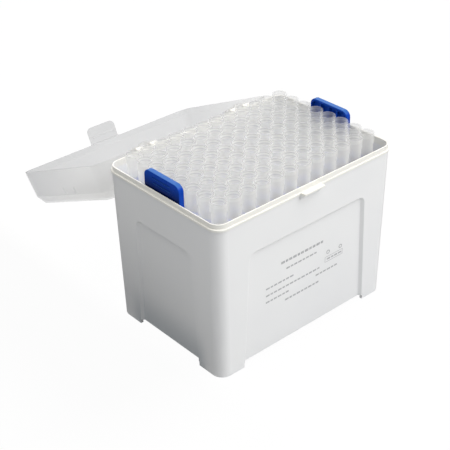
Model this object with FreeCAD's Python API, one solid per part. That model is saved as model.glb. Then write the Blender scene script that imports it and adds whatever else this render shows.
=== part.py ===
"""Box of pipette tips: a moulded box with a hinged lid, a lift-out rack and 96 tips.

Millimetres. The origin is on the ground under the middle of the box, +X runs along
the long side, -Y is the front with the catch, +Z is up. The lid is built shut and
then swung open about its hinge, which is how the part rests.
"""
import FreeCAD, Part
import math
import os

V = FreeCAD.Vector
X_AXIS, Y_AXIS, Z_AXIS = V(1, 0, 0), V(0, 1, 0), V(0, 0, 1)
ORIGIN = V(0, 0, 0)

# ---- tips -------------------------------------------------------------------
COLUMNS = 12
ROWS = 8
PITCH = 9.0                 # centre to centre, both ways
TIP_LENGTH = 83.0
COLLAR_GAP = 0.9            # between neighbouring collars
COLLAR_HEIGHT = 5.0
COLLAR_STEP = 0.35          # collar stands this far out from the sleeve below it
SOCKET_WALL = 0.7           # wall around the straight socket
SOCKET_DEPTH = 5.5
SLEEVE_LENGTH = 19.5        # top of the tip down to the shoulder that rests on the rack
SHOULDER_SEAT = 0.4         # width of the shoulder ring
SHAFT_WALL = 0.5
SHAFT_UPPER_LENGTH = 40.0   # gentle taper under the shoulder
SHAFT_KNEE_RADIUS = 2.4
POINT_RADIUS = 0.6
POINT_BORE_RADIUS = 0.3

# ---- box --------------------------------------------------------------------
END_MARGIN = 8.7            # end tips' centre to the inner edge of the lip
SIDE_MARGIN = 8.9           # outer rows' centre to the inner edge of the lip
LIP_WALL = 0.7
LIP_HEIGHT = 2.4
LIP_CORNER = 5.1
LIP_ROUND = 0.25
LEDGE_WIDTH = 0.8           # from the lip out to the edge of the bead
BEAD_HEIGHT = 1.4
BEAD_PROUD = 0.45           # bead beyond the wall under it
BEAD_ROUND = 0.4
DRAFT = 1.2                 # how far the walls lean in from the bead to the ground
BOX_WALL = 1.6
FLOOR = 1.8
FOOT_HEIGHT = 2.5           # corner feet below the floor
TIP_FLOOR_GAP = 7.7         # from the floor up to the tips' points
DECK_DEPTH = 11.1           # ledge down to the top of the rack
PANEL_DROP = 20.5           # ledge down to the top of the sunken panels
PANEL_DEPTH = 1.5
PANEL_CORNER = 4.0
PANEL_ROUND = 0.8           # where a sunken panel's slopes meet its floor
PANEL_FLARE = 3.2           # each panel's side edges spread this far towards the foot
LONG_PANEL_MARGIN = 19.7    # box corner to the top corner of a long panel
END_PANEL_MARGIN = 20.9     # the same on the short sides

# ---- catch on the box and tab on the lid --------------------------------------
CATCH_WIDTH = 14.4          # at the wall
CATCH_FRONT_WIDTH = 13.5
CATCH_REACH = 2.6           # beyond the bead
CATCH_LIP = 1.0             # height of its front face
CATCH_SLOPE = 2.8           # further drop of its underside at the wall
CATCH_ROUND = 0.3
TAB_WIDTH = 19.0
TAB_DROP = 9.6              # below the lid's rim
TAB_THICKNESS = 1.1
TAB_CORNER = 3.0
TAB_ROUND = 0.3
TAB_GAP = 0.1               # in front of the catch
HOOK_WIDTH = 15.0
HOOK_REACH = 0.8
HOOK_HEIGHT = 1.6
HOOK_LEAD = 0.8             # of that height, sloped so that it rides over the catch
HOOK_DROP = 2.9             # lid's rim down to the top of the hook

# ---- rack ---------------------------------------------------------------------
RACK_GAP = 0.65             # inner edge of the lip to the rack, all round
DECK = 2.0
DECK_HOLE_CLEARANCE = 0.12
SKIRT = 1.3
HANDLE_RISE = 22.0          # above the deck
HANDLE_WIDTH = 26.2
HANDLE_DEPTH = 3.0
HANDLE_PLATE = 1.2          # its plate, and the rim around that
HANDLE_CORNER = 3.6
HANDLE_ROUND = 0.35
HANDLE_RIB = 1.0
HANDLE_RIBS = 3
GROOVE_LENGTH = 13.2
GROOVE_HEIGHT = 0.9
GROOVE_DEPTH = 0.4
GROOVE_DROPS = (2.7, 5.4)   # top of the handle down to each groove

# ---- lid ----------------------------------------------------------------------
LID_GAP = 0.1               # between the ledge and the rim of the shut lid
LID_WALL = 0.9
LID_TOP = 1.2
LID_WALL_HEIGHT = 14.9
LID_TAPER = 1.5
LID_CHAMFER_HEIGHT = 4.9
LID_CHAMFER_INSET = 2.9
LID_SHOULDER_CORNER = 5.8   # plan radius where the walls end
LID_TOP_CORNER = 4.4
LID_ROUND = 0.8             # edges of the lid's shoulder
SKIRT_DEPTH = 3.3           # thin edge of the lid that slips over the lip
LIP_CLEARANCE = 0.15
NUB_RADIUS = 1.7
NUB_HEIGHT = 3.6
NUB_PROUD = 0.6
NUB_PLACES = (-1.6, 9.7)    # along each short side, from its middle towards the hinge
NUB_BASE = 10.6             # above the lid's rim

# ---- hinge --------------------------------------------------------------------
HINGE_BACK = 4.6            # axis behind the bead
HINGE_DROP = 0.1            # axis below the ledge
HINGE_SPREAD = 32.0         # middle of the box to the middle of each hinge
PIN_RADIUS = 1.5
PIN_CLEARANCE = 0.06
LUG_RADIUS = 2.8
LUG_THICKNESS = 4.2
MOUTH_HEIGHT = 0.95         # axis to the flat mouth that the pin snaps in through
MOUTH_TILT = 30.0           # the mouth faces up, tipped back this far
LUG_DROP = 18.5             # ledge down to the foot of each lug
ARM_WIDTH = 4.4
ARM_RADIUS = 2.4
ARM_RISE = 6.2              # lid's rim up to where the arm leaves the wall
ARM_SIDE_GAP = 0.3
OPEN_ANGLE = 204.9          # shut to wide open
STOP_GAP = 0.12             # left between the open lid and the lugs that stop it
STOP_SPAN = (3.5, 10.0)     # where the lugs meet the lid, down from its rim

# ---- places worked out from the sizes above --------------------------------------
COLLAR_RADIUS = (PITCH - COLLAR_GAP) / 2
SLEEVE_RADIUS = COLLAR_RADIUS - COLLAR_STEP
SOCKET_RADIUS = COLLAR_RADIUS - SOCKET_WALL
SHAFT_RADIUS = SLEEVE_RADIUS - SHOULDER_SEAT

FLOOR_TOP = FOOT_HEIGHT + FLOOR
TIP_POINT_Z = FLOOR_TOP + TIP_FLOOR_GAP
TIP_TOP_Z = TIP_POINT_Z + TIP_LENGTH
DECK_TOP_Z = TIP_TOP_Z - SLEEVE_LENGTH
LEDGE_Z = DECK_TOP_Z + DECK_DEPTH
LIP_Z = LEDGE_Z + LIP_HEIGHT
PANEL_TOP_Z = LEDGE_Z - PANEL_DROP
STEP_Z = PANEL_TOP_Z + BOX_WALL

LIP_IN_X = (COLUMNS - 1) * PITCH / 2 + END_MARGIN
LIP_IN_Y = (ROWS - 1) * PITCH / 2 + SIDE_MARGIN
LIP_OUT_X = LIP_IN_X + LIP_WALL
LIP_OUT_Y = LIP_IN_Y + LIP_WALL
BEAD_X = LIP_OUT_X + LEDGE_WIDTH
BEAD_Y = LIP_OUT_Y + LEDGE_WIDTH
BEAD_CORNER = LIP_CORNER + LIP_WALL + LEDGE_WIDTH
WALL_TOP_Z = LEDGE_Z - BEAD_HEIGHT
WALL_X = BEAD_X - BEAD_PROUD
WALL_Y = BEAD_Y - BEAD_PROUD
WALL_CORNER = BEAD_CORNER - BEAD_PROUD
GROUND_X = WALL_X - DRAFT
GROUND_Y = WALL_Y - DRAFT
DRAFT_ANGLE = math.degrees(math.atan2(DRAFT, WALL_TOP_Z))
LONG_PANEL_HALF = WALL_X - LONG_PANEL_MARGIN
END_PANEL_HALF = WALL_Y - END_PANEL_MARGIN
STEP_X = GROUND_X - PANEL_DEPTH - BOX_WALL      # inner faces behind the sunken panels
STEP_Y = GROUND_Y - PANEL_DEPTH - BOX_WALL

RACK_X = LIP_IN_X - RACK_GAP
RACK_Y = LIP_IN_Y - RACK_GAP
DECK_LOW_Z = DECK_TOP_Z - DECK
HANDLE_TOP_Z = DECK_TOP_Z + HANDLE_RISE

RIM_Z = LEDGE_Z + LID_GAP
SEAT_X = LIP_OUT_X + LIP_CLEARANCE              # inside of the lid's thin edge
SEAT_Y = LIP_OUT_Y + LIP_CLEARANCE
SHOULDER_Z = RIM_Z + LID_WALL_HEIGHT
LID_TOP_Z = SHOULDER_Z + LID_CHAMFER_HEIGHT
HINGE_Y = BEAD_Y + HINGE_BACK
HINGE_Z = LEDGE_Z - HINGE_DROP
HINGE_AXIS = V(0, HINGE_Y, HINGE_Z)
CATCH_FRONT_Y = -(BEAD_Y + CATCH_REACH)
TAB_BACK_Y = CATCH_FRONT_Y - TAB_GAP
TAB_FRONT_Y = TAB_BACK_Y - TAB_THICKNESS

OVERSHOOT = 5.0             # how far a cutting shape runs past what it cuts
SAME_PLACE = 0.01           # places closer than this count as one


# ---- small shape helpers -----------------------------------------------------------
def rounded_outline(points, radii):
    """Closed wire through flat points, each corner rounded to its own radius."""
    edges = []
    ends = []
    for i, corner in enumerate(points):
        back = (points[i - 1] - corner).normalize()
        ahead = (points[(i + 1) % len(points)] - corner).normalize()
        if radii[i] <= 0:
            ends.append((corner, None, corner))
            continue
        half = back.getAngle(ahead) / 2
        run = radii[i] / math.tan(half)
        middle = (back + ahead).normalize() * (radii[i] / math.sin(half) - radii[i])
        ends.append((corner + back * run, corner + middle, corner + ahead * run))
    for i, (start, middle, end) in enumerate(ends):
        if middle is not None:
            edges.append(Part.Arc(start, middle, end).toShape())
        following = ends[(i + 1) % len(ends)][0]
        edges.append(Part.makeLine(end, following))
    return Part.Wire(edges)


def rectangle(half_x, half_y, corner, z):
    """Level rounded rectangle about the Z axis."""
    corners = [V(-half_x, -half_y, z), V(half_x, -half_y, z), V(half_x, half_y, z), V(-half_x, half_y, z)]
    return rounded_outline(corners, [corner] * 4)


def loft(sections):
    """Straight-sided solid through rounded rectangles given as (half_x, half_y, corner, z)."""
    return Part.makeLoft([rectangle(*section) for section in sections], True, True)


def prism(half_x, half_y, corner, low, high):
    return Part.Face(rectangle(half_x, half_y, corner, low)).extrude(V(0, 0, high - low))


def block(x, y, z):
    """Box between pairs of coordinates."""
    return Part.makeBox(x[1] - x[0], y[1] - y[0], z[1] - z[0], V(x[0], y[0], z[0]))


def side_plate(profile, x):
    """Plate of a (y, z) outline between two x places."""
    points = [V(x[0], y, z) for y, z in profile]
    return Part.Face(Part.makePolygon(points + points[:1])).extrude(V(x[1] - x[0], 0, 0))


def cross_pin(radius, x):
    """Cylinder along the hinge axis between two x places."""
    return Part.makeCylinder(radius, x[1] - x[0], V(x[0], HINGE_Y, HINGE_Z), X_AXIS)


def middle(edge):
    return edge.valueAt((edge.FirstParameter + edge.LastParameter) / 2)


def level(point, z):
    return abs(point.z - z) < SAME_PLACE


def round_edges(shape, radius, wanted):
    """Fillet those edges whose middle point the test picks."""
    return shape.makeFillet(radius, [edge for edge in shape.Edges if wanted(middle(edge))])


def turned_about_z(shape, angle):
    copy = shape.copy()
    copy.rotate(ORIGIN, Z_AXIS, angle)
    return copy


def columns():
    return [(i - (COLUMNS - 1) / 2) * PITCH for i in range(COLUMNS)]


def rows():
    return [(j - (ROWS - 1) / 2) * PITCH for j in range(ROWS)]


def write(name, shape):
    """Check that the shape is sound and write its STEP file."""
    if not shape.isValid():
        raise ValueError(name + " is not a valid solid")
    shape.exportStep("parts/" + name + ".step")
    print(name, len(shape.Solids), "solid(s)", round(shape.Volume, 1), "mm3")


# ---- box ---------------------------------------------------------------------------
def panel_section(half_top, grow, y):
    """Outline of a sunken panel on an upright plane, larger all round by grow."""
    half_top = half_top + grow
    half_foot = half_top + PANEL_FLARE
    top = PANEL_TOP_Z + grow
    corners = [V(-half_foot, y, -OVERSHOOT), V(half_foot, y, -OVERSHOOT)]
    corners += [V(half_top, y, top), V(-half_top, y, top)]
    round_top = PANEL_CORNER + grow
    return rounded_outline(corners, [0, 0, round_top, round_top])


def panel_hollow(surface, half_top):
    """Sunken panel in the wall that stands at -Y; it leans with the wall."""
    outer = panel_section(half_top, PANEL_DEPTH, -surface - PANEL_DEPTH)
    inner = panel_section(half_top, -PANEL_DEPTH, -surface + PANEL_DEPTH)
    hollow = Part.makeLoft([outer, inner], True, True)
    floor_y = -surface + PANEL_DEPTH
    hollow = round_edges(hollow, PANEL_ROUND, lambda p: abs(p.y - floor_y) < SAME_PLACE and p.z > 0)
    hollow.rotate(V(0, -surface, 0), X_AXIS, DRAFT_ANGLE)
    return hollow


def panel_backing(inner_face, surface, half_top):
    """Solid left standing inside the wall behind a sunken panel; the rack rests on its top."""
    face = Part.Face(panel_section(half_top, BOX_WALL, -inner_face))
    return face.extrude(V(0, inner_face - surface - OVERSHOOT, 0))


def panel_sets():
    """Each sunken panel: turn about Z, wall at the ground, inner face, half width at its top."""
    long_side = (GROUND_Y, STEP_Y, LONG_PANEL_HALF)
    short_side = (GROUND_X, STEP_X, END_PANEL_HALF)
    return [(0,) + long_side, (180,) + long_side, (90,) + short_side, (270,) + short_side]


def box_cavity():
    """Space inside the box, stepped in behind the sunken panels."""
    slope = DRAFT / WALL_TOP_Z
    low_x = GROUND_X + slope * FLOOR_TOP - BOX_WALL
    low_y = GROUND_Y + slope * FLOOR_TOP - BOX_WALL
    space = loft([(low_x, low_y, LIP_CORNER, FLOOR_TOP), (LIP_IN_X, LIP_IN_Y, LIP_CORNER, LEDGE_Z)])
    space = space.fuse(prism(LIP_IN_X, LIP_IN_Y, LIP_CORNER, LEDGE_Z, LIP_Z + OVERSHOOT))
    for turn, surface, inner_face, half_top in panel_sets():
        space = space.cut(turned_about_z(panel_backing(inner_face, surface, half_top), turn))
    return space


def under_floor():
    """Space under the floor, which leaves an angled foot at each corner."""
    inside_x = GROUND_X - BOX_WALL
    inside_y = GROUND_Y - BOX_WALL
    space = prism(inside_x, inside_y, LIP_CORNER, -OVERSHOOT, FOOT_HEIGHT)
    wide_x = LONG_PANEL_HALF + PANEL_FLARE
    wide_y = END_PANEL_HALF + PANEL_FLARE
    far_x = BEAD_X + OVERSHOOT
    far_y = BEAD_Y + OVERSHOOT
    space = space.fuse(block((-wide_x, wide_x), (-far_y, far_y), (-OVERSHOOT, FOOT_HEIGHT)))
    return space.fuse(block((-far_x, far_x), (-wide_y, wide_y), (-OVERSHOOT, FOOT_HEIGHT)))


def catch():
    """Ledge in the middle of the front that the lid's tab hooks under; its ends taper in."""
    root_y = -(WALL_Y - BOX_WALL / 2)
    low = LEDGE_Z - CATCH_LIP
    profile = [(root_y, LEDGE_Z), (CATCH_FRONT_Y, LEDGE_Z), (CATCH_FRONT_Y, low)]
    profile += [(-WALL_Y, low - CATCH_SLOPE), (root_y, low - CATCH_SLOPE)]
    half_root = CATCH_WIDTH / 2
    half_front = CATCH_FRONT_WIDTH / 2
    plan = [V(-half_root, -WALL_Y, 0), V(-half_front, CATCH_FRONT_Y, 0), V(half_front, CATCH_FRONT_Y, 0)]
    plan += [V(half_root, -WALL_Y, 0), V(half_root, root_y, 0), V(-half_root, root_y, 0)]
    column = Part.Face(Part.makePolygon(plan + plan[:1])).extrude(V(0, 0, LIP_Z))
    wedge = side_plate(profile, (-half_root, half_root)).common(column)
    return round_edges(wedge, CATCH_ROUND, lambda p: p.y < CATCH_FRONT_Y + SAME_PLACE)


def lid_taper(rise):
    """How far the lid's outer walls lean in at this height above its rim."""
    return LID_TAPER * rise / LID_WALL_HEIGHT


def stop_point(rise):
    """(y, z) just clear of the open lid's hinge wall, this far from the lid's rim."""
    shut = V(0, BEAD_Y - lid_taper(rise) + STOP_GAP, RIM_Z + rise)
    turned = FreeCAD.Rotation(X_AXIS, -OPEN_ANGLE).multVec(shut - HINGE_AXIS) + HINGE_AXIS
    return turned.y, turned.z


def hinge_lug(x):
    """Bracket on the back wall: a pin of the lid snaps into its top, and its back stops the open lid."""
    root_y = WALL_Y - BOX_WALL / 2
    top = LEDGE_Z - BEAD_HEIGHT / 2
    profile = [(root_y, top), (HINGE_Y, top), stop_point(STOP_SPAN[0]), stop_point(STOP_SPAN[1])]
    profile.append((root_y, LEDGE_Z - LUG_DROP))
    above = block(x, (HINGE_Y - OVERSHOOT, HINGE_Y + OVERSHOOT), (HINGE_Z + MOUTH_HEIGHT, LIP_Z + OVERSHOOT))
    above.rotate(HINGE_AXIS, X_AXIS, -MOUTH_TILT)
    return side_plate(profile, x).fuse(cross_pin(LUG_RADIUS, x)).cut(above)


def lug_spans():
    """x places of every lug, two beside each arm of the lid."""
    spans = []
    near = ARM_WIDTH / 2 + ARM_SIDE_GAP
    for centre in (-HINGE_SPREAD, HINGE_SPREAD):
        spans.append((centre - near - LUG_THICKNESS, centre - near))
        spans.append((centre + near, centre + near + LUG_THICKNESS))
    return spans


def bead():
    """Thick band round the top of the walls; the rim of the shut lid meets its top."""
    band = prism(BEAD_X, BEAD_Y, BEAD_CORNER, WALL_TOP_Z, LEDGE_Z)
    return round_edges(band, BEAD_ROUND, lambda p: level(p, WALL_TOP_Z) or level(p, LEDGE_Z))


def base_box():
    """The moulded box: walls with sunken panels, corner feet, bead, lip, catch and lugs."""
    body = loft([(GROUND_X, GROUND_Y, WALL_CORNER, 0), (WALL_X, WALL_Y, WALL_CORNER, WALL_TOP_Z)])
    lip = prism(LIP_OUT_X, LIP_OUT_Y, LIP_CORNER + LIP_WALL, WALL_TOP_Z, LIP_Z)
    body = body.fuse([bead(), lip, catch()] + [hinge_lug(x) for x in lug_spans()])
    body = body.cut([box_cavity(), under_floor()])
    for turn, surface, inner_face, half_top in panel_sets():
        body = body.cut(turned_about_z(panel_hollow(surface, half_top), turn))
    body = body.cut(cross_pin(PIN_RADIUS + PIN_CLEARANCE, (-BEAD_X, BEAD_X))).removeSplitter()
    return round_edges(body, LIP_ROUND, lambda p: level(p, LIP_Z))


# ---- rack --------------------------------------------------------------------------
def handle_face(x, inset, low):
    """Upright face of a handle's shape, drawn in from its side and top edges by inset."""
    half = HANDLE_WIDTH / 2 - inset
    top = HANDLE_TOP_Z - inset
    corner = HANDLE_CORNER - inset
    corners = [V(x, -half, low), V(x, half, low), V(x, half, top), V(x, -half, top)]
    return Part.Face(rounded_outline(corners, [0, 0, corner, corner]))


def handle():
    """Upright grip at the +X end: a plate with a rim and ribs on its inner side."""
    inward = V(-HANDLE_DEPTH, 0, 0)
    solid = handle_face(RACK_X, 0, DECK_LOW_Z).extrude(inward)
    middle_x = RACK_X - HANDLE_DEPTH / 2
    on_outline = lambda p: abs(p.x - middle_x) > HANDLE_DEPTH / 2 - SAME_PLACE and not level(p, DECK_LOW_Z)
    solid = round_edges(solid, HANDLE_ROUND, on_outline)
    hollow = handle_face(RACK_X - HANDLE_PLATE, HANDLE_PLATE, DECK_TOP_Z).extrude(inward)
    gap = (HANDLE_WIDTH - 2 * HANDLE_PLATE) / (HANDLE_RIBS + 1)
    for i in range(HANDLE_RIBS):
        y = gap * (i - (HANDLE_RIBS - 1) / 2)
        rib = block((0, RACK_X), (y - HANDLE_RIB / 2, y + HANDLE_RIB / 2), (DECK_TOP_Z, HANDLE_TOP_Z))
        hollow = hollow.cut(rib)
    solid = solid.cut(hollow)
    for drop in GROOVE_DROPS:
        z = HANDLE_TOP_Z - drop
        groove = block((RACK_X - GROOVE_DEPTH, RACK_X + OVERSHOOT), (-GROOVE_LENGTH / 2, GROOVE_LENGTH / 2),
                       (z - GROOVE_HEIGHT / 2, z + GROOVE_HEIGHT / 2))
        solid = solid.cut(groove)
    return solid


def tip_rack():
    """Lift-out deck with a hole for each tip, a skirt below and a handle at each end."""
    deck = prism(RACK_X, RACK_Y, LIP_CORNER, STEP_Z, DECK_TOP_Z)
    inside = prism(RACK_X - SKIRT, RACK_Y - SKIRT, LIP_CORNER - SKIRT, STEP_Z - OVERSHOOT, DECK_LOW_Z)
    hole = Part.makeCylinder(SHAFT_RADIUS + DECK_HOLE_CLEARANCE, DECK + 2 * OVERSHOOT,
                             V(0, 0, DECK_LOW_Z - OVERSHOOT))
    holes = [hole.translated(V(x, y, 0)) for x in columns() for y in rows()]
    deck = deck.cut([inside] + holes)
    return deck.fuse([handle(), turned_about_z(handle(), 180)]).removeSplitter()


# ---- tips --------------------------------------------------------------------------
def tip_profile():
    """(radius, z) outline of half a tip: up the outside from the point, down the bore."""
    shoulder = DECK_TOP_Z
    knee = shoulder - SHAFT_UPPER_LENGTH
    collar = TIP_TOP_Z - COLLAR_HEIGHT
    socket = TIP_TOP_Z - SOCKET_DEPTH
    outside = [(POINT_RADIUS, TIP_POINT_Z), (SHAFT_KNEE_RADIUS, knee), (SHAFT_RADIUS, shoulder)]
    outside += [(SLEEVE_RADIUS, shoulder), (SLEEVE_RADIUS, collar), (COLLAR_RADIUS, collar)]
    outside += [(COLLAR_RADIUS, TIP_TOP_Z)]
    inside = [(SOCKET_RADIUS, TIP_TOP_Z), (SOCKET_RADIUS, socket)]
    inside += [(SHAFT_RADIUS - SHAFT_WALL, shoulder), (SHAFT_KNEE_RADIUS - SHAFT_WALL, knee)]
    return outside + inside + [(POINT_BORE_RADIUS, TIP_POINT_Z)]


def tip(x, y):
    points = [V(radius, 0, z) for radius, z in tip_profile()]
    solid = Part.Face(Part.makePolygon(points + points[:1])).revolve(ORIGIN, Z_AXIS, 360)
    solid.translate(V(x, y, 0))
    return solid


# ---- lid ---------------------------------------------------------------------------
def lid_outside():
    """Solid outline of the cover: tapered walls, a sloping shoulder and a flat top."""
    top_inset = LID_TAPER + LID_CHAMFER_INSET
    cover = loft([
        (BEAD_X, BEAD_Y, BEAD_CORNER, RIM_Z),
        (BEAD_X - LID_TAPER, BEAD_Y - LID_TAPER, LID_SHOULDER_CORNER, SHOULDER_Z),
        (BEAD_X - top_inset, BEAD_Y - top_inset, LID_TOP_CORNER, LID_TOP_Z),
    ])
    return round_edges(cover, LID_ROUND, lambda p: level(p, SHOULDER_Z) or level(p, LID_TOP_Z))


def lid_inside():
    """Space inside the cover, wider at the rim so that its thin edge slips over the lip."""
    edge_z = RIM_Z + SKIRT_DEPTH
    edge_inset = LID_WALL + lid_taper(SKIRT_DEPTH)
    shoulder_inset = LID_WALL + LID_TAPER
    shoulder_rise = LID_CHAMFER_HEIGHT - LID_TOP
    roof_inset = shoulder_inset + LID_CHAMFER_INSET * shoulder_rise / LID_CHAMFER_HEIGHT
    space = loft([
        (BEAD_X - edge_inset, BEAD_Y - edge_inset, BEAD_CORNER - LID_WALL, edge_z),
        (BEAD_X - shoulder_inset, BEAD_Y - shoulder_inset, LID_SHOULDER_CORNER - LID_WALL, SHOULDER_Z),
        (BEAD_X - roof_inset, BEAD_Y - roof_inset, LID_TOP_CORNER - LID_WALL, LID_TOP_Z - LID_TOP),
    ])
    seat = prism(SEAT_X, SEAT_Y, LIP_CORNER + LIP_WALL + LIP_CLEARANCE, RIM_Z - OVERSHOOT, edge_z)
    return space.fuse(seat)


def lid_tab():
    """Pull tab on the front of the lid, with the hook that snaps under the catch."""
    half = TAB_WIDTH / 2
    low = RIM_Z - TAB_DROP
    high = RIM_Z + TAB_THICKNESS
    corners = [V(-half, TAB_BACK_Y, low), V(half, TAB_BACK_Y, low), V(half, TAB_BACK_Y, high)]
    corners.append(V(-half, TAB_BACK_Y, high))
    plate = Part.Face(rounded_outline(corners, [TAB_CORNER, TAB_CORNER, 0, 0]))
    plate = plate.extrude(V(0, -TAB_THICKNESS, 0))
    in_front = lambda p: abs(p.y - TAB_FRONT_Y) < SAME_PLACE and not level(p, high)
    plate = round_edges(plate, TAB_ROUND, in_front)
    shelf = block((-half, half), (TAB_FRONT_Y, -SEAT_Y), (RIM_Z, high))
    root_y = TAB_BACK_Y - TAB_THICKNESS / 2
    hook_y = TAB_BACK_Y + HOOK_REACH
    hook_z = RIM_Z - HOOK_DROP
    profile = [(root_y, hook_z), (hook_y, hook_z), (hook_y, hook_z - HOOK_HEIGHT + HOOK_LEAD)]
    profile += [(TAB_BACK_Y, hook_z - HOOK_HEIGHT), (root_y, hook_z - HOOK_HEIGHT)]
    hook = side_plate(profile, (-HOOK_WIDTH / 2, HOOK_WIDTH / 2))
    return plate.fuse([shelf, hook])


def lid_nub(side, y):
    """Small upright half-round bump on a short wall."""
    low = RIM_Z + NUB_BASE
    wall = BEAD_X - lid_taper(NUB_BASE + NUB_HEIGHT / 2)
    nub = Part.makeCylinder(NUB_RADIUS, NUB_HEIGHT, V(side * (wall + NUB_PROUD - NUB_RADIUS), y, low))
    return nub


def hinge_arm(centre):
    """Arm behind the lid with a pin out of each side, between two lugs of the box."""
    x = (centre - ARM_WIDTH / 2, centre + ARM_WIDTH / 2)
    low = RIM_Z + LID_GAP
    top = RIM_Z + ARM_RISE
    profile = [(SEAT_Y, low), (HINGE_Y, low), (HINGE_Y, HINGE_Z + ARM_RADIUS)]
    profile += [(BEAD_Y - lid_taper(ARM_RISE), top), (SEAT_Y - LID_WALL, top)]
    arm = side_plate(profile, x).fuse(cross_pin(ARM_RADIUS, x))
    reach = ARM_SIDE_GAP + LUG_THICKNESS
    return arm.fuse(cross_pin(PIN_RADIUS, (x[0] - reach, x[1] + reach)))


def lid():
    """The whole lid, swung open about its hinge until it meets the lugs."""
    pieces = [lid_tab(), hinge_arm(-HINGE_SPREAD), hinge_arm(HINGE_SPREAD)]
    pieces += [lid_nub(side, y) for side in (-1, 1) for y in NUB_PLACES]
    shape = lid_outside().fuse(pieces).cut(lid_inside()).removeSplitter()
    shape.rotate(HINGE_AXIS, X_AXIS, -OPEN_ANGLE)
    return shape


def main():
    os.makedirs("parts", exist_ok=True)
    write("base_box", base_box())
    write("tip_rack", tip_rack())
    write("lid", lid())
    for number, x in enumerate(columns(), 1):
        write("tips_column_%02d" % number, Part.makeCompound([tip(x, y) for y in rows()]))


main()
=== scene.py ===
"""A box of pipette tips: its looks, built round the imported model.

White moulded box, blue rack with two lifting handles, clear hinged lid and twelve columns of frosted tips.
Everything is in metres, in the model's own frame: the origin is on the ground under the middle of the box, the
catch is at the front, towards -Y, and the hinge is behind.
"""

import math

import bpy
from mathutils import Matrix, Vector


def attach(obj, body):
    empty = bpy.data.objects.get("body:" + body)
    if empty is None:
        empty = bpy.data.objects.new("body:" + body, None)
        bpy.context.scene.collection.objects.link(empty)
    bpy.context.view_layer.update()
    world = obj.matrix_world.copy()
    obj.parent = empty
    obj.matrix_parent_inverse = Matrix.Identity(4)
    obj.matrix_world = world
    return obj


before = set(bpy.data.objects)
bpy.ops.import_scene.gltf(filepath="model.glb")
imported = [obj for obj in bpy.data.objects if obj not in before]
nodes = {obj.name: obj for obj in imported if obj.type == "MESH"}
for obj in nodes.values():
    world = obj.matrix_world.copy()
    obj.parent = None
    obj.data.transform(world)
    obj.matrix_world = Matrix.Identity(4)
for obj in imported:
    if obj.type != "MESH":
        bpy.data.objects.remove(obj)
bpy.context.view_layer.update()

MM = 0.001
PITCH = 9.0 * MM               # between neighbouring tips, both ways

# heights over the ground, where a painted light, a painted shade or a finish starts and is complete
RIM_RISE = (0.0845, 0.0862)    # the painted warm light on the bead and lip round the top of the box
FOOT_SHADE_RISE = (0.0, 0.027)       # the painted shade at the foot of the end panels, fading upwards
RIB_SHADE_RISE = (0.0885, 0.0960)    # the painted shade low on the rack's broad outward faces, fading upwards
HANDLE_RISE = (0.0865, 0.0900)  # above this the rack's upward faces are its handles' tops, which get painted light
COLLAR_RISE = (0.0926, 0.0934)  # the milkier collar of each tip
UPPER_RING, LOWER_RING = 0.0946, 0.0931  # the middles of the two rings of painted shade in a tip's mouth
END_PANEL_EDGE = (0.024, 0.032)  # where an end panel gives way to the corner posts, either way from the middle, and the painted foot shade ends
HINGE_SIDE = (0.048, 0.125)    # across the open lid, from its hinge wall to its far side, where the painted light on the lid fades out

# painted warm light: a warmer, lighter white on the rim, where the warm light from above falls
RIM_LIGHT_CREAM = (0.845, 0.832, 0.782, 1)
# painted shade: a bluish grey low on the end panels
FOOT_SHADE_GREY = (0.50, 0.535, 0.56, 1)
# painted shade: a darker blue low on the rack's broad outward faces
SHADED_BLUE = (0.0003, 0.007, 0.065, 1)
# painted light: a lighter blue on the handles' upward faces
HANDLE_TOP_LIT_BLUE = (0.040, 0.135, 0.43, 1)
THROWN_BLUE = (0.15, 0.18, 0.32, 1)  # what the rack throws on the frosted tips round it
# painted shade: the grey of two rings inside each tip's mouth
MOUTH_RING_SHADE = (0.67, 0.67, 0.675, 1)
# painted light: a paler colour along the lid's hinge wall
HINGE_LIGHT_WHITE = (0.84, 0.84, 0.835, 1)


# ---------------------------------------------------------------- node trees


def add(tree, kind, at=(0, 0), **values):
    """One node, with its settings by name."""
    made = tree.nodes.new(kind)
    made.location = at
    for name, value in values.items():
        setattr(made, name, value)
    return made


def plug(tree, source, target):
    tree.links.new(source, target)


def feed(tree, value, socket):
    """Give a socket what it needs: a number or a colour of its own, or a link."""
    if isinstance(value, (int, float, tuple)):
        socket.default_value = value
    else:
        plug(tree, value, socket)


def sums(tree, operation, a, b=None, at=(0, 0), clamp=False):
    """A Math node over two sockets or numbers. Gives its output."""
    made = add(tree, "ShaderNodeMath", at, operation=operation, use_clamp=clamp)
    for socket, value in zip(made.inputs, (a, b)):
        if value is not None:
            feed(tree, value, socket)
    return made.outputs[0]


def ramp(tree, value, low, high, to_low, to_high, at=(0, 0), smooth=False):
    """A Map Range node, clamped. Its limits may be sockets or numbers."""
    made = add(tree, "ShaderNodeMapRange", at, clamp=True)
    if smooth:
        made.interpolation_type = "SMOOTHSTEP"
    plug(tree, value, made.inputs["Value"])
    for name, limit in (("From Min", low), ("From Max", high), ("To Min", to_low), ("To Max", to_high)):
        feed(tree, limit, made.inputs[name])
    return made.outputs["Result"]


def blend(tree, factor, a, b, at=(0, 0)):
    """A colour Mix node over sockets or colours."""
    made = add(tree, "ShaderNodeMix", at, data_type="RGBA")
    for socket, value in ((made.inputs[0], factor), (made.inputs[6], a), (made.inputs[7], b)):
        feed(tree, value, socket)
    return made.outputs[2]


def noise(tree, where, scale, detail, roughness=0.5, at=(0, 0)):
    made = add(tree, "ShaderNodeTexNoise", at)
    plug(tree, where, made.inputs["Vector"])
    feed(tree, scale, made.inputs["Scale"])
    made.inputs["Detail"].default_value = detail
    made.inputs["Roughness"].default_value = roughness
    return made.outputs["Fac"]


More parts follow.
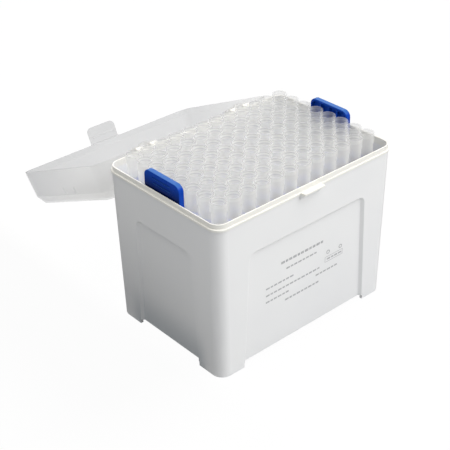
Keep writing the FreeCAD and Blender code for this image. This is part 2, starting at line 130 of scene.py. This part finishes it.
def place_of(tree, at=(0, 0)):
    """Where a point of the piece is, in the model's frame."""
    return add(tree, "ShaderNodeTexCoord", at).outputs["Object"]


def facing_of(tree, at=(0, 0)):
    """Which way the surface faces."""
    return add(tree, "ShaderNodeNewGeometry", at).outputs["Normal"]


def height_in(tree, place, at=(0, 0), axis="Z"):
    """One part of a position or a direction: its height, unless another axis is named."""
    made = add(tree, "ShaderNodeSeparateXYZ", at)
    plug(tree, place, made.inputs[0])
    return made.outputs[axis]


def new_group(name, inputs, outputs):
    """An empty node group with named sockets. Gives the tree, its input node and its output node."""
    tree = bpy.data.node_groups.new(name, "ShaderNodeTree")
    for socket, kind, value in inputs:
        made = tree.interface.new_socket(name=socket, in_out="INPUT", socket_type="NodeSocket" + kind)
        made.default_value = value
    for socket, kind in outputs:
        tree.interface.new_socket(name=socket, in_out="OUTPUT", socket_type="NodeSocket" + kind)
    return tree, add(tree, "NodeGroupInput", (-1100, 0)), add(tree, "NodeGroupOutput", (700, 0))


def moulded_surface():
    """Injection-moulded plastic: slow flow marks in the colour, a satin grain, and faint rubbed patches."""
    tree, given, out = new_group(
        "moulded_surface",
        [
            ("Colour", "Color", (0.8, 0.8, 0.8, 1)),
            ("Flow Colour", "Color", (0.7, 0.7, 0.7, 1)),
            ("Flow Scale", "Float", 18.0),
            ("Grain Scale", "Float", 2600.0),
            ("Roughness", "Float", 0.3),
            ("Rubbed Roughness", "Float", 0.45),
        ],
        [("Colour", "Color"), ("Roughness", "Float"), ("Height", "Float")],
    )
    place = place_of(tree, (-1100, -300))
    flow = noise(tree, place, given.outputs["Flow Scale"], 3.0, 0.55, (-800, 200))
    flow = ramp(tree, flow, 0.35, 0.7, 0.0, 1.0, (-600, 200), smooth=True)
    plug(tree, blend(tree, flow, given.outputs["Colour"], given.outputs["Flow Colour"], (-300, 200)),
         out.inputs["Colour"])
    rubbed = noise(tree, place, 95.0, 5.0, 0.65, (-800, -100))
    rubbed = ramp(tree, rubbed, 0.5, 0.72, 0.0, 1.0, (-600, -100), smooth=True)
    plug(tree, ramp(tree, rubbed, 0.0, 1.0, given.outputs["Roughness"], given.outputs["Rubbed Roughness"],
                    (-300, -100)), out.inputs["Roughness"])
    grain = noise(tree, place, given.outputs["Grain Scale"], 2.0, 0.5, (-800, -400))
    waves = noise(tree, place, 60.0, 2.0, 0.4, (-800, -600))
    plug(tree, sums(tree, "ADD", sums(tree, "MULTIPLY", grain, 0.25, (-500, -400)),
                    sums(tree, "MULTIPLY", waves, 0.75, (-500, -600)), (-300, -500)), out.inputs["Height"])
    return tree


def wall_density():
    """How solid a frosted wall looks: more so as it turns edge on, with a slow milkiness through the plastic."""
    tree, given, out = new_group(
        "wall_density",
        [
            ("Face On", "Float", 0.2),
            ("Edge On", "Float", 0.7),
            ("Turned Away", "Float", 0.0),
            ("Milk Scale", "Float", 40.0),
            ("Milk Spread", "Float", 0.05),
        ],
        [("Density", "Float")],
    )
    place = place_of(tree, (-1100, -300))
    milk = noise(tree, place, given.outputs["Milk Scale"], 4.0, 0.6, (-800, -300))
    milk = sums(tree, "MULTIPLY", sums(tree, "SUBTRACT", milk, 0.5, (-600, -300)), given.outputs["Milk Spread"],
                (-400, -300))
    turned = ramp(tree, given.outputs["Turned Away"], 0.0, 1.0, given.outputs["Face On"], given.outputs["Edge On"],
                  (-400, 0))
    plug(tree, sums(tree, "ADD", turned, milk, (-100, 0), clamp=True), out.inputs["Density"])
    return tree


MOULDED = moulded_surface()
DENSITY = wall_density()


def use_group(tree, group, at, values):
    made = add(tree, "ShaderNodeGroup", at, node_tree=group)
    for name, value in values.items():
        feed(tree, value, made.inputs[name])
    return made


def new_material(name):
    """An empty material. Gives it, its tree, its plastic shader and its output node."""
    made = bpy.data.materials.new(name)
    made.use_nodes = True
    tree = made.node_tree
    tree.nodes.clear()
    return made, tree, add(tree, "ShaderNodeBsdfPrincipled", (300, 0)), add(tree, "ShaderNodeOutputMaterial", (700, 0))


def bump(tree, height, depth, at=(0, -300)):
    made = add(tree, "ShaderNodeBump", at)
    made.inputs["Strength"].default_value = 1.0
    made.inputs["Distance"].default_value = depth
    plug(tree, height, made.inputs["Height"])
    return made.outputs["Normal"]


def white_box_plastic():
    """Opaque white polypropylene with a satin sheen, with painted warm light at the rim and painted shade low on the
    end panels.
    """
    made, tree, shader, out = new_material("white_box_plastic")
    surface = use_group(tree, MOULDED, (-300, 0), {
        "Colour": (0.83, 0.832, 0.83, 1), "Flow Colour": (0.80, 0.804, 0.808, 1), "Flow Scale": 14.0,
        "Grain Scale": 2400.0, "Roughness": 0.3, "Rubbed Roughness": 0.4})
    place = place_of(tree, (-900, 400))
    height = height_in(tree, place, (-700, 400))
    # painted warm light on the bead and lip round the top
    rim = ramp(tree, height, *RIM_RISE, 0.0, 1.0, (-300, 400), smooth=True)
    colour = blend(tree, rim, surface.outputs["Colour"], RIM_LIGHT_CREAM, (0, 300))
    facing = facing_of(tree, (-900, 800))
    end = ramp(tree, sums(tree, "ABSOLUTE", height_in(tree, facing, (-700, 800), "X")), 0.7, 0.97, 0.0, 1.0,
               (-500, 800), smooth=True)
    middle = ramp(tree, sums(tree, "ABSOLUTE", height_in(tree, place, (-700, 1000), "Y")), *END_PANEL_EDGE, 1.0, 0.0,
                  (-500, 1000), smooth=True)
    # painted shade low on the end panels, fading upwards and out towards the corner posts
    foot = ramp(tree, height, *FOOT_SHADE_RISE, 0.65, 0.0, (-500, 1200), smooth=True)
    foot_shade = sums(tree, "MULTIPLY", sums(tree, "MULTIPLY", end, middle, (-300, 900)), foot, (-150, 1000))
    plug(tree, blend(tree, foot_shade, colour, FOOT_SHADE_GREY, (150, 300)), shader.inputs["Base Color"])
    plug(tree, surface.outputs["Roughness"], shader.inputs["Roughness"])
    plug(tree, bump(tree, surface.outputs["Height"], 0.00006), shader.inputs["Normal"])
    shader.inputs["IOR"].default_value = 1.49
    plug(tree, shader.outputs[0], out.inputs["Surface"])
    return made


def blue_rack_plastic():
    """Deep blue plastic with a soft gloss, with painted shade low on its broad outward faces and painted light on its
    handles' tops. The light that it throws on what stands round it is greyer than its own colour."""
    made, tree, shader, out = new_material("blue_rack_plastic")
    surface = use_group(tree, MOULDED, (-300, 0), {
        "Colour": (0.005, 0.058, 0.43, 1), "Flow Colour": (0.004, 0.052, 0.40, 1), "Flow Scale": 40.0,
        "Grain Scale": 2200.0, "Roughness": 0.24, "Rubbed Roughness": 0.36})
    place = place_of(tree, (-1100, 500))
    facing = facing_of(tree, (-1100, 300))
    # painted shade low on the broad faces that look outwards, close under the box's lip
    outward = sums(tree, "MULTIPLY", height_in(tree, facing, (-900, 300), "X"),
                   sums(tree, "SIGN", height_in(tree, place, (-900, 100), "X")), (-800, 200))
    broad = ramp(tree, outward, 0.6, 0.95, 0.0, 1.0, (-700, 300), smooth=True)
    height = height_in(tree, place, (-900, 500))
    low = ramp(tree, height, *RIB_SHADE_RISE, 1.0, 0.0, (-700, 500))
    shaded_low = blend(tree, sums(tree, "MULTIPLY", broad, low, (-500, 400)), surface.outputs["Colour"],
                 SHADED_BLUE, (-100, 300))
    # painted light on the handles' upward faces
    upward = ramp(tree, height_in(tree, facing, (-900, 700)), 0.45, 0.95, 0.0, 1.0, (-700, 700), smooth=True)
    high = ramp(tree, height, *HANDLE_RISE, 0.0, 1.0, (-700, 900))
    shaded_and_lit_blue = blend(tree, sums(tree, "MULTIPLY", upward, high, (-500, 700)), shaded_low, HANDLE_TOP_LIT_BLUE, (0, 500))
    ray = add(tree, "ShaderNodeLightPath", (0, 800))
    shaded_and_lit_blue = blend(tree, ray.outputs["Is Diffuse Ray"], shaded_and_lit_blue, THROWN_BLUE, (150, 600))
    plug(tree, shaded_and_lit_blue, shader.inputs["Base Color"])
    plug(tree, surface.outputs["Roughness"], shader.inputs["Roughness"])
    plug(tree, bump(tree, surface.outputs["Height"], 0.00005), shader.inputs["Normal"])
    shader.inputs["IOR"].default_value = 1.5
    shader.inputs["Specular IOR Level"].default_value = 0.07
    plug(tree, shader.outputs[0], out.inputs["Surface"])
    return made


def frosted(name, colours, flow_scale, roughness, face_on, edge_on, edge_blend, milk_scale, glow, shade,
            extra=None, rings=None, paler=None):
    """Frosted see-through plastic: each wall passes light, more of it face on than edge on, and scatters the rest.
    Glow is the share that it scatters on through, and shade the share of its density that casts a shadow. What
    extra gives is added to the density, rings paint shade into the colour and paler paints light into it."""
    made, tree, shader, out = new_material(name)
    surface = use_group(tree, MOULDED, (-300, 200), {
        "Colour": colours[0], "Flow Colour": colours[1], "Flow Scale": flow_scale, "Grain Scale": 1800.0,
        "Roughness": roughness, "Rubbed Roughness": roughness + 0.12})
    turned = add(tree, "ShaderNodeLayerWeight", (-900, -300))
    turned.inputs["Blend"].default_value = edge_blend
    density = use_group(tree, DENSITY, (-300, -300), {
        "Face On": face_on, "Edge On": edge_on, "Turned Away": turned.outputs["Facing"],
        "Milk Scale": milk_scale, "Milk Spread": 0.04}).outputs["Density"]
    if extra is not None:
        density = sums(tree, "ADD", density, extra(tree), (0, -300), clamp=True)
    ray = add(tree, "ShaderNodeLightPath", (0, -700))
    shadow = ramp(tree, ray.outputs["Is Shadow Ray"], 0.0, 1.0, 1.0, shade, (200, -700))
    density = sums(tree, "MULTIPLY", density, shadow, (400, -300))
    # a wall counts once, where light enters it
    leaving = add(tree, "ShaderNodeNewGeometry", (0, -900)).outputs["Backfacing"]
    entered = sums(tree, "SUBTRACT", 1.0, leaving, (200, -900))
    density = sums(tree, "MULTIPLY", density, entered, (500, -500))
    colour = surface.outputs["Colour"]
    if rings is not None:
        # painted shade: darker rings inside the tip's mouth
        colour = blend(tree, rings(tree), colour, MOUTH_RING_SHADE, (0, 400))
    if paler is not None:
        # painted light: a paler colour where paler asks for it
        colour = blend(tree, paler(tree), colour, HINGE_LIGHT_WHITE, (100, 500))
    plug(tree, colour, shader.inputs["Base Color"])
    plug(tree, surface.outputs["Roughness"], shader.inputs["Roughness"])
    shader.inputs["IOR"].default_value = 1.49
    shader.inputs["Specular IOR Level"].default_value = 0.3
    through = add(tree, "ShaderNodeBsdfTranslucent", (300, -500))
    plug(tree, colour, through.inputs["Color"])
    body = add(tree, "ShaderNodeMixShader", (600, -200))
    body.inputs[0].default_value = glow
    plug(tree, shader.outputs[0], body.inputs[1])
    plug(tree, through.outputs[0], body.inputs[2])
    clear = add(tree, "ShaderNodeBsdfTransparent", (600, 100))
    wall = add(tree, "ShaderNodeMixShader", (900, 0))
    plug(tree, density, wall.inputs[0])
    plug(tree, clear.outputs[0], wall.inputs[1])
    plug(tree, body.outputs[0], wall.inputs[2])
    plug(tree, wall.outputs[0], out.inputs["Surface"])
    return made


def rings_in_mouth(tree):
    """Two rings of painted shade inside each tip's socket, just under the mouth."""
    place = place_of(tree, (-1500, 900))
    height = height_in(tree, place, (-1300, 900))
    upper = ramp(tree, sums(tree, "ABSOLUTE", sums(tree, "SUBTRACT", height, UPPER_RING)), 0.20 * MM, 0.30 * MM,
                 1.0, 0.0, (-1000, 900))
    lower = ramp(tree, sums(tree, "ABSOLUTE", sums(tree, "SUBTRACT", height, LOWER_RING)), 0.24 * MM, 0.36 * MM,
                 1.0, 0.0, (-1000, 1100))
    # from the middle of the tip's own cell to this point, set against the way the wall faces
    cell = add(tree, "ShaderNodeVectorMath", (-1300, 1300), operation="SNAP")
    plug(tree, place, cell.inputs[0])
    cell.inputs[1].default_value = (PITCH, PITCH, 1.0)
    corner = add(tree, "ShaderNodeVectorMath", (-1100, 1300), operation="SUBTRACT")
    plug(tree, place, corner.inputs[0])
    plug(tree, cell.outputs[0], corner.inputs[1])
    spoke = add(tree, "ShaderNodeVectorMath", (-900, 1300), operation="MULTIPLY_ADD")
    plug(tree, corner.outputs[0], spoke.inputs[0])
    spoke.inputs[1].default_value = (1.0, 1.0, 0.0)
    spoke.inputs[2].default_value = (-PITCH / 2, -PITCH / 2, 0.0)
    outward = add(tree, "ShaderNodeVectorMath", (-700, 1300), operation="DOT_PRODUCT")
    plug(tree, spoke.outputs[0], outward.inputs[0])
    plug(tree, facing_of(tree, (-900, 1500)), outward.inputs[1])
    inner = ramp(tree, outward.outputs["Value"], -0.2 * MM, 0.2 * MM, 1.0, 0.12, (-500, 1300))
    return sums(tree, "MULTIPLY", sums(tree, "MAXIMUM", upper, lower, (-700, 1000)), inner, (-300, 1100))


def rim_of_tip(tree):
    """The collar round each tip's mouth is a little milkier, and its flat top clearer."""
    place = place_of(tree, (-900, -700))
    collar = ramp(tree, height_in(tree, place, (-700, -700)), *COLLAR_RISE, 0.0, 0.05, (-500, -700), smooth=True)
    facing = facing_of(tree, (-900, -900))
    flat = ramp(tree, height_in(tree, facing, (-700, -900)), 0.6, 0.9, 0.0, 0.25, (-500, -900))
    return sums(tree, "SUBTRACT", collar, flat, (-300, -800))


def frosted_tip_plastic():
    return frosted(
        "frosted_tip_plastic", colours=((0.828, 0.826, 0.814, 1), (0.808, 0.81, 0.80, 1)), flow_scale=30.0,
        roughness=0.42, face_on=0.38, edge_on=0.75, edge_blend=0.40, milk_scale=60.0, glow=0.55, shade=0.06,
        extra=rim_of_tip, rings=rings_in_mouth)


def lit_near_hinge(tree):
    """Painted light: the lid's colour is paler along its hinge wall, fading out across it."""
    place = place_of(tree, (-900, 900))
    return ramp(tree, height_in(tree, place, (-700, 900), "Y"), *HINGE_SIDE, 0.75, 0.0, (-500, 900), smooth=True)


def frosted_lid_plastic():
    return frosted(
        "frosted_lid_plastic", colours=((0.662, 0.666, 0.676, 1), (0.642, 0.648, 0.66, 1)), flow_scale=20.0,
        roughness=0.3, face_on=0.76, edge_on=0.88, edge_blend=0.35, milk_scale=25.0, glow=0.68, shade=0.08,
        paler=lit_near_hinge)


def grey_ink():
    """Thin grey printing ink, a little uneven."""
    made, tree, shader, out = new_material("grey_ink")
    surface = use_group(tree, MOULDED, (-300, 0), {
        "Colour": (0.40, 0.40, 0.41, 1), "Flow Colour": (0.50, 0.50, 0.51, 1), "Flow Scale": 900.0,
        "Grain Scale": 5000.0, "Roughness": 0.5, "Rubbed Roughness": 0.6})
    plug(tree, surface.outputs["Colour"], shader.inputs["Base Color"])
    plug(tree, surface.outputs["Roughness"], shader.inputs["Roughness"])
    plug(tree, bump(tree, surface.outputs["Height"], 0.00001), shader.inputs["Normal"])
    plug(tree, shader.outputs[0], out.inputs["Surface"])
    return made


def dress(name, material):
    """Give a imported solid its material, over whatever it came with."""
    piece = nodes[name]
    for place in piece.material_slots:
        place.material = material
    if not piece.material_slots:
        piece.data.materials.append(material)


dress("base_box", white_box_plastic())
dress("tip_rack", blue_rack_plastic())
dress("lid", frosted_lid_plastic())
tip_plastic = frosted_tip_plastic()
for name in sorted(nodes):
    if name.startswith("tips_column_"):
        dress(name, tip_plastic)


# ---------------------------------------------------------------- print on the front panel


def select_only(*pieces):
    """Leave these pieces selected and no others, out of edit mode."""
    if bpy.context.object and bpy.context.object.mode != "OBJECT":
        bpy.ops.object.mode_set(mode="OBJECT")
    bpy.ops.object.select_all(action="DESELECT")
    for piece in pieces:
        piece.select_set(True)
    bpy.context.view_layer.objects.active = pieces[0] if pieces else None


def panel_point(x, z):
    """Where the front panel's surface is, straight behind (x, z), and which way it faces there."""
    before_the_box = -0.08
    _, place, normal, _ = nodes["base_box"].ray_cast(Vector((x, before_the_box, z)), Vector((0, 1, 0)))
    return place, normal


def finish_edit():
    bpy.ops.object.mode_set(mode="OBJECT")


def start_edit():
    bpy.ops.object.mode_set(mode="EDIT")
    bpy.ops.mesh.select_all(action="SELECT")


def ink_bar():
    """One bar of ink, 1 m long and 1 m high, lying in the XZ plane and facing the front."""
    select_only()
    bpy.ops.mesh.primitive_plane_add(size=1.0, location=(0, 0, 0), rotation=(math.radians(90), 0, 0))
    bar = bpy.context.object
    bpy.ops.object.transform_apply(location=True, rotation=True, scale=True)
    start_edit()
    bpy.ops.mesh.bevel(offset=0.16, segments=2, affect="VERTICES")
    finish_edit()
    return bar


def ink_ring():
    """One ring of ink, 1 m across, lying in the XZ plane and facing the front."""
    select_only()
    bpy.ops.mesh.primitive_circle_add(vertices=18, radius=0.5, fill_type="NGON", location=(0, 0, 0),
                                      rotation=(math.radians(90), 0, 0))
    ring = bpy.context.object
    bpy.ops.object.transform_apply(location=True, rotation=True, scale=True)
    start_edit()
    bpy.ops.mesh.inset(thickness=0.2, depth=0.0)
    bpy.ops.mesh.delete(type="FACE")
    finish_edit()
    return ring


def put_ink(model, x, z, width, tall):
    """A copy of a mark, its middle at (x, z) on the front panel, leaning as the panel does. All in mm."""
    copy = bpy.data.objects.new("ink", model.data.copy())
    bpy.context.scene.collection.objects.link(copy)
    middle, normal = panel_point(x * MM, z * MM)
    lean = (Vector((0, 0, 1)) - normal * normal.z).normalized()
    for point in copy.data.vertices:
        point.co = middle + Vector((point.co.x * width * MM, 0, 0)) + lean * (point.co.z * tall * MM)
    return copy


# rows of bars, in mm: left end, height, how tall and how many
BAR_ROWS = (
    (-17.2, 50.0, 1.4, 11),
    (-13.6, 45.4, 0.9, 8),
    (-27.2, 39.1, 0.9, 7),
    (-27.2, 34.9, 0.9, 14),
    (-27.2, 31.0, 0.9, 6),
    (7.4, 31.2, 0.9, 6),
    (-14.0, 26.5, 1.0, 9),
    (15.2, 37.7, 0.9, 4),
)
BAR_WIDTHS = (2.5, 1.7, 2.1)   # in turn along a row
BAR_GAP = 0.6
RINGS = ((15.9, 41.9), (24.9, 41.4))
RING_ACROSS = 2.4
FRAME_LEFT, FRAME_RIGHT, FRAME_FOOT, FRAME_TOP = 13.9, 26.5, 36.2, 39.2
FRAME_LINE = 0.25


def front_print():
    """Where a label's lines stand: rows of plain bars in one even rhythm, two rings and a frame, with no words."""
    bar, ring = ink_bar(), ink_ring()
    marks = []
    for left, height, tall, count in BAR_ROWS:
        for turn in range(count):
            width = BAR_WIDTHS[turn % len(BAR_WIDTHS)]
            marks.append(put_ink(bar, left + width / 2, height, width, tall))
            left += width + BAR_GAP
    for x, z in RINGS:
        marks.append(put_ink(ring, x, z, RING_ACROSS, RING_ACROSS))
    for z in (FRAME_FOOT, FRAME_TOP):
        marks.append(put_ink(bar, (FRAME_LEFT + FRAME_RIGHT) / 2, z, FRAME_RIGHT - FRAME_LEFT, FRAME_LINE))
    for x in (FRAME_LEFT, FRAME_RIGHT):
        marks.append(put_ink(bar, x, (FRAME_FOOT + FRAME_TOP) / 2, FRAME_LINE, FRAME_TOP - FRAME_FOOT + 0.2))
    for model in (bar, ring):
        bpy.data.objects.remove(model)
    select_only(*marks)
    bpy.ops.object.join()
    ink = bpy.context.object
    ink.name = ink.data.name = "front_print"
    film = ink.modifiers.new("ink film", "SOLIDIFY")
    film.thickness, film.offset = 0.06 * MM, 0.0
    bpy.ops.object.modifier_apply(modifier=film.name)
    start_edit()
    bpy.ops.mesh.normals_make_consistent(inside=False)
    finish_edit()
    ink.data.materials.clear()
    ink.data.materials.append(grey_ink())
    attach(ink, "box")


front_print()


# ---------------------------------------------------------------- floor, light and camera


def pale_floor():
    """A plain white sheet that stays white in sight, holds a soft shadow, and throws less light up beside the
    box's left end."""
    select_only()
    bpy.ops.mesh.primitive_plane_add(size=6.0, location=(0, 0, 0))
    floor = bpy.context.object
    floor.name = "floor"
    made, tree, shader, out = new_material("white_paper")
    shader.inputs["Roughness"].default_value = 0.9
    seen = add(tree, "ShaderNodeLightPath", (-300, 400))
    place = place_of(tree, (-900, 0))
    across = height_in(tree, place, (-700, 0), "X")
    left_end = (-0.070, -0.055)
    near = sums(tree, "MULTIPLY", ramp(tree, across, *left_end, 1.0, 0.0, (-500, 0)),
                ramp(tree, across, -0.180, -0.110, 0.0, 1.0, (-500, 200)), (-400, 100))
    backward = ramp(tree, height_in(tree, place, (-700, -200), "Y"), -0.064, -0.014, 0.0, 1.0, (-500, -200))
    side = ramp(tree, across, *left_end, 0.58, 0.66, (-300, -400))
    matt = ramp(tree, sums(tree, "MULTIPLY", near, backward, (-300, -100)), 0.0, 1.0, side, 0.08, (-150, -100))
    # to glossy rays the floor is dark: a painted shade in what the box and rack reflect of it
    plug(tree, ramp(tree, seen.outputs["Is Glossy Ray"], 0.0, 1.0, matt, 0.12, (0, 0)), shader.inputs["Base Color"])
    white = add(tree, "ShaderNodeEmission", (300, 300))
    white.inputs["Color"].default_value = (1, 1, 1, 1)
    white.inputs["Strength"].default_value = 1.01
    share = sums(tree, "MULTIPLY", seen.outputs["Is Camera Ray"], 0.96, (150, 400))
    mix = add(tree, "ShaderNodeMixShader", (600, 200))
    plug(tree, share, mix.inputs[0])
    plug(tree, shader.outputs[0], mix.inputs[1])
    plug(tree, white.outputs[0], mix.inputs[2])
    plug(tree, mix.outputs[0], out.inputs["Surface"])
    floor.data.materials.append(made)


def soft_light(name, place, size, watts, colour):
    """A square soft light that faces the middle of the object."""
    lamp = bpy.data.lights.new(name, "AREA")
    lamp.shape, lamp.size, lamp.energy, lamp.color = "SQUARE", size, watts, colour
    made = bpy.data.objects.new(name, lamp)
    made.location = place
    made.rotation_euler = (Vector((0, 0.02, 0.05)) - Vector(place)).to_track_quat("-Z", "Y").to_euler()
    bpy.context.scene.collection.objects.link(made)


def studio():
    """A grey surround that looks white itself, and three soft lights: front right, above and behind right."""
    world = bpy.data.worlds.new("studio")
    world.use_nodes = True
    tree = world.node_tree
    ground = tree.nodes["Background"]
    ray = add(tree, "ShaderNodeLightPath", (-500, 0))
    plug(tree, blend(tree, ray.outputs["Is Camera Ray"], (0.385, 0.40, 0.42, 1), (1.0, 1.0, 1.0, 1), (-250, 0)),
         ground.inputs["Color"])
    bpy.context.scene.world = world
    soft_light("key", (1.25, -1.77, 2.42), 2.4, 84.0, (1.0, 0.99, 0.98))
    soft_light("top", (-0.55, 0.30, 2.75), 2.0, 28.0, (1.0, 0.96, 0.89))
    soft_light("back", (1.90, 2.48, 1.55), 4.4, 74.0, (1.0, 0.975, 0.93))


CAMERA_PLACE = (-0.3273614, -0.3579091, 0.3491640)
CAMERA_TURN = (-40.776, 31.918, -1.326)  # azimuth, elevation and roll, in degrees
CAMERA_LENS = 88.036           # on a 36 mm wide frame


def camera():
    """The camera, in front to the left and above, looking down on the box."""
    azimuth, elevation, roll = (math.radians(angle) for angle in CAMERA_TURN)
    back = Vector((math.sin(azimuth) * math.cos(elevation), -math.cos(azimuth) * math.cos(elevation),
                   math.sin(elevation)))
    right = Vector((0, 0, 1)).cross(back).normalized()
    up = back.cross(right)
    right, up = (right * math.cos(roll) + up * math.sin(roll), up * math.cos(roll) - right * math.sin(roll))
    lens = bpy.data.cameras.new("camera")
    lens.sensor_width, lens.lens = 36.0, CAMERA_LENS
    lens.clip_start, lens.clip_end = 0.01, 20.0
    made = bpy.data.objects.new("camera", lens)
    turn = Matrix((right, up, back)).transposed().to_4x4()
    turn.translation = Vector(CAMERA_PLACE)
    made.matrix_world = turn
    bpy.context.scene.collection.objects.link(made)
    bpy.context.scene.camera = made


pale_floor()
studio()
camera()
scene = bpy.context.scene
scene.view_settings.view_transform = "Standard"
scene.cycles.transparent_max_bounces = 192
scene.cycles.max_bounces = 10
scene.cycles.diffuse_bounces = 5

bpy.context.view_layer.update()
